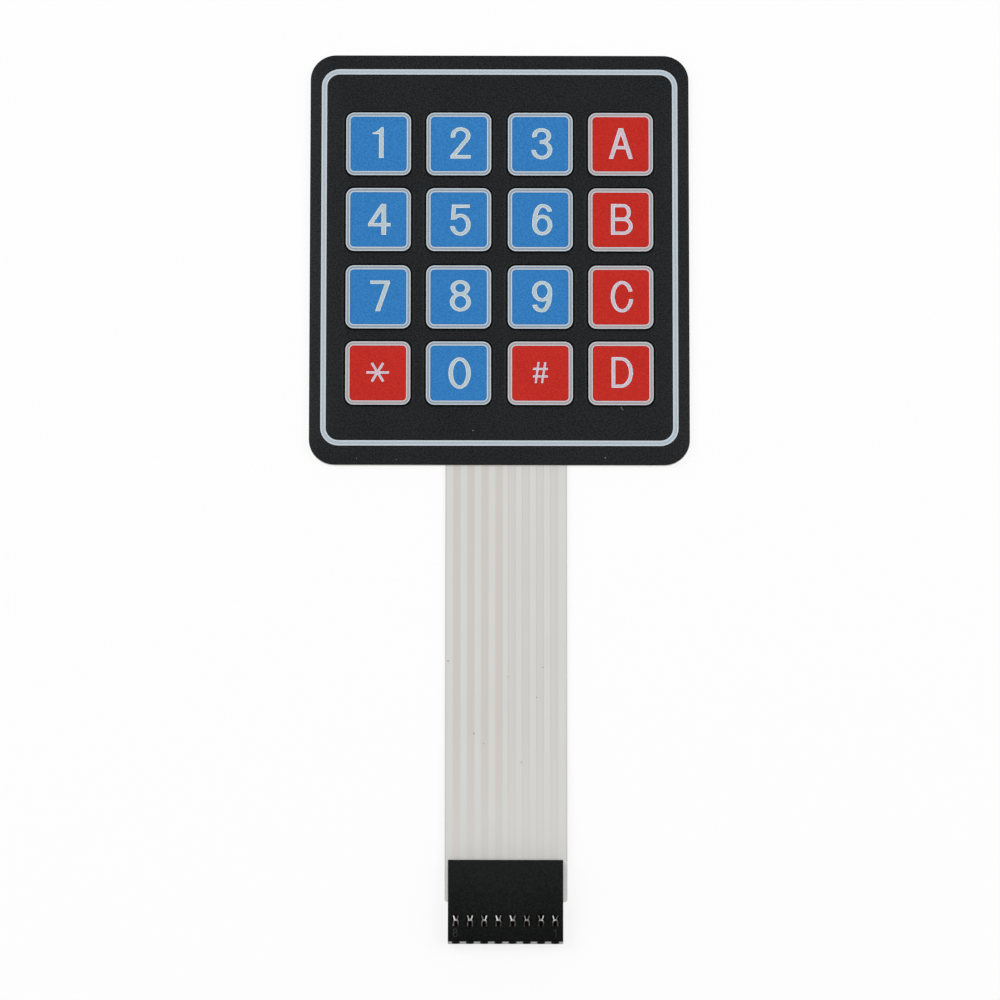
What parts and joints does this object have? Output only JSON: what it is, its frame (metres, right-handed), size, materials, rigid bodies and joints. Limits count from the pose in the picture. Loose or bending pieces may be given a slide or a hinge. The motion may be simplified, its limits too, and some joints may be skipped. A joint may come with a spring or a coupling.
{
  "type": "membrane keypad",
  "caption": "Thin self-adhesive membrane keypad with raised colour keys in a square grid, a flat film tail with printed conductors and a single-row socket connector at its end.",
  "frame": {"origin": "centre of the panel's back face, on the release liner", "axes": "+Z out of the front towards the user, +Y towards the top row of keys, the tail runs towards -Y"},
  "size_m": [0.069, 0.1646, 0.0025],
  "materials": {
    "liner_paper": "smooth silicone-coated paper",
    "adhesive": "clear pressure-sensitive adhesive film",
    "circuit_film": "translucent milky polyester film",
    "silver_ink": "matt silver-loaded ink",
    "spacer_film": "translucent adhesive-coated film",
    "overlay_film": "fine-grained matt black polyester film",
    "line_ink": "pale grey screen print under matt film",
    "blue_ink": "blue screen print under matt film",
    "red_ink": "red screen print under matt film",
    "housing_plastic": "moulded black plastic with a slight sheen",
    "contact_metal": "tin-plated stamped spring bronze"
  },
  "bodies": {
    "root": {"release_liner": "liner_paper", "rear_adhesive": "adhesive", "lower_circuit_film": "circuit_film", "column_tracks": "silver_ink", "spacer": "spacer_film", "row_tracks": "silver_ink", "upper_circuit_film": "circuit_film", "overlay_adhesive": "adhesive", "graphic_overlay": "overlay_film", "line_print": "line_ink", "blue_print": "blue_ink", "red_print": "red_ink", "connector_housing": "housing_plastic", "contact_1": "contact_metal", "contact_2": "contact_metal", "contact_3": "contact_metal", "contact_4": "contact_metal", "contact_5": "contact_metal", "contact_6": "contact_metal", "contact_7": "contact_metal", "contact_8": "contact_metal"}
  },
  "joints": []
}
